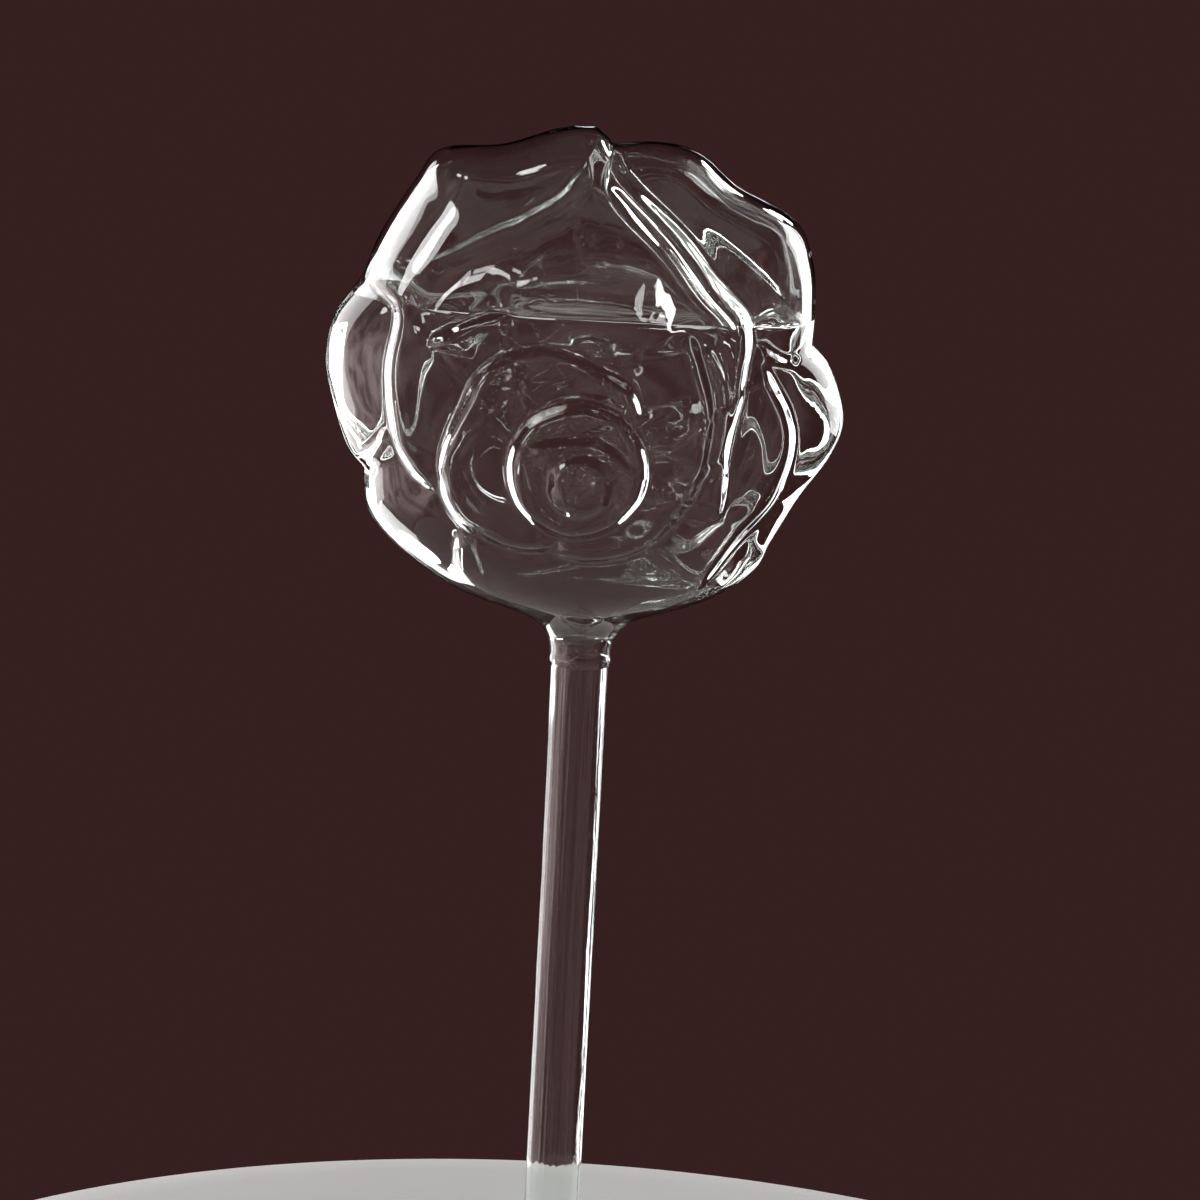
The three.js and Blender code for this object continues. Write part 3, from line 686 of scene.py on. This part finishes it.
# Surroundings. A dark warm wall is seen directly and through the glass, and a plain soft room with more
# light in front and on the left is what the outside of the glass mirrors. All else gets the fill.
WALL = (0.036, 0.0146, 0.0142)
ROOM = (1.0, 0.83, 0.81)
FILL, FILL_STRENGTH = (0.9, 0.95, 1.0), 0.35
# Strength of the room on each side, and where along the direction's axis it rises from nothing to all
ROOM_FRONT, ROOM_LEFT, ROOM_LOW_LEFT = 0.45, 0.7, 1.5
FRONT_RISE, LEFT_RISE, LOW_LEFT_RISE = (-0.15, 0.5), (0.35, 0.95), (0.6, 0.95)
LOW_FALL, CEILING_FALL, CEILING_LOSS = (-0.05, 0.25), (0.15, 0.75), 0.85
# The room is uneven: patches of the noise from a half to one and six tenths of its strength
PATCH_SCALE, PATCH_DETAIL, PATCH_RISE = 5, 4, (0.36, 0.64)
PATCH_SPAN, PATCH_LEAST = 1.1, 0.5


def make_world():
    world = bpy.data.worlds.new("studio")
    bpy.context.scene.world = world
    world.use_nodes = True
    nodes, links = world.node_tree.nodes, world.node_tree.links

    def math_node(operation, *values):
        node = nodes.new("ShaderNodeMath")
        node.operation = operation
        for socket, value in zip(node.inputs, values):
            if isinstance(value, (int, float)):
                socket.default_value = value
            else:
                links.new(value, socket)
        return node.outputs[0]

    def times(a, b):
        return math_node("MULTIPLY", a, b)

    def plus(a, b):
        return math_node("ADD", a, b)

    def one_less(value):
        return math_node("SUBTRACT", 1.0, value)

    def rising(value, low, high):
        node = nodes.new("ShaderNodeMapRange")
        node.interpolation_type = "SMOOTHSTEP"
        node.inputs["From Min"].default_value = low
        node.inputs["From Max"].default_value = high
        links.new(value, node.inputs["Value"])
        return node.outputs["Result"]

    def background(color, strength):
        node = nodes.new("ShaderNodeBackground")
        node.inputs["Color"].default_value = (*color, 1)
        if isinstance(strength, float):
            node.inputs["Strength"].default_value = strength
        else:
            links.new(strength, node.inputs["Strength"])
        return node.outputs[0]

    def mixed(share, under, over):
        node = nodes.new("ShaderNodeMixShader")
        links.new(share, node.inputs["Fac"])
        links.new(under, node.inputs[1])
        links.new(over, node.inputs[2])
        return node.outputs[0]

    coords = nodes.new("ShaderNodeTexCoord")
    direction = nodes.new("ShaderNodeSeparateXYZ")
    links.new(coords.outputs["Generated"], direction.inputs[0])
    x, y, z = direction.outputs
    leftward = times(x, -1.0)
    front = times(rising(times(y, -1.0), *FRONT_RISE), ROOM_FRONT)
    left = times(rising(leftward, *LEFT_RISE), ROOM_LEFT)
    low_left = times(rising(leftward, *LOW_LEFT_RISE), one_less(rising(z, *LOW_FALL)))
    low_left = times(low_left, ROOM_LOW_LEFT)
    below_ceiling = one_less(times(rising(z, *CEILING_FALL), CEILING_LOSS))
    uneven = noise(nodes, links, coords.outputs["Generated"], PATCH_SCALE, PATCH_DETAIL)
    patches = plus(times(rising(uneven, *PATCH_RISE), PATCH_SPAN), PATCH_LEAST)
    strength = times(plus(times(plus(front, left), below_ceiling), low_left), patches)
    paths = nodes.new("ShaderNodeLightPath")
    seen = math_node("MAXIMUM", paths.outputs["Is Camera Ray"], paths.outputs["Is Transmission Ray"])
    fill = background(FILL, FILL_STRENGTH)
    room = mixed(paths.outputs["Is Glossy Ray"], fill, background(ROOM, strength))
    links.new(mixed(seen, room, background(WALL, 1.0)), nodes["World Output"].inputs["Surface"])


make_world()


# Lamps that light the glass and show in it, but are not seen directly. They all face the rose.
MIDDLE = Vector((0, 0, 0.15))


def lamp(name, place, width, height, radiance, shape="RECTANGLE"):
    light = bpy.data.lights.new(name, "AREA")
    light.shape = shape
    light.size, light.size_y = width, height
    light.energy = radiance * math.pi * width * height
    box = bpy.data.objects.new(name, light)
    box.location = place
    box.rotation_euler = (MIDDLE - Vector(place)).to_track_quat("-Z", "Y").to_euler()
    box.visible_camera = False
    bpy.context.scene.collection.objects.link(box)


lamp("softbox_left", (-0.67, 0.54, 0.16), 0.61, 1.00, 3.5)
lamp("softbox_right", (0.61, 0.61, 0.30), 0.42, 0.74, 3.8)
lamp("softbox_low_left", (-0.39, 0.44, -0.38), 0.42, 0.42, 6)
lamp("lamp_back", (0.30, 0.78, 0.50), 0.12, 0.10, 14, "ELLIPSE")
lamp("window_left", (-0.72, -0.15, 0.64), 0.22, 0.26, 10, "ELLIPSE")
lamp("window_front", (-0.455, -0.81, 0.487), 0.11, 0.05, 12)
lamp("window_front_pane", (-0.25, -0.89, 0.47), 0.04, 0.03, 12)
lamp("window_low", (-0.53, -0.75, 0.42), 0.05, 0.16, 8, "ELLIPSE")
lamp("ceiling_lamp", (-0.32, 0.18, 0.92), 0.06, 0.05, 9, "ELLIPSE")
lamp("lamp_front", (0.145, -1.12, 0.31), 0.03, 0.40, 22, "ELLIPSE")


# The photograph's camera: place and target in metres, lens in millimetres, roll in degrees
CAMERA_PLACE, CAMERA_TARGET = (0.00267, -0.65, 0.228), (0.00267, 0, 0.1268)
CAMERA_LENS, CAMERA_SENSOR, CAMERA_ROLL = 127.3, 36, 3


def make_camera():
    camera = bpy.data.cameras.new("camera")
    camera.lens = CAMERA_LENS
    camera.sensor_width = CAMERA_SENSOR
    camera.clip_start, camera.clip_end = 0.01, 20
    holder = bpy.data.objects.new("camera", camera)
    bpy.context.scene.collection.objects.link(holder)
    place = Vector(CAMERA_PLACE)
    away = (place - Vector(CAMERA_TARGET)).normalized()
    right = Vector((0, 0, 1)).cross(away).normalized()
    up = away.cross(right)
    roll = math.radians(CAMERA_ROLL)
    across = right * math.cos(roll) + up * math.sin(roll)
    upright = up * math.cos(roll) - right * math.sin(roll)
    turned = Matrix((across, upright, away)).transposed().to_4x4()
    turned.translation = place
    holder.matrix_world = turned
    bpy.context.scene.camera = holder


make_camera()
bpy.context.scene.view_settings.view_transform = "Standard"
# Light passes many surfaces of glass and water one behind the other
cycles = bpy.context.scene.cycles
cycles.max_bounces, cycles.transmission_bounces, cycles.glossy_bounces = 32, 32, 16

bpy.context.view_layer.update()
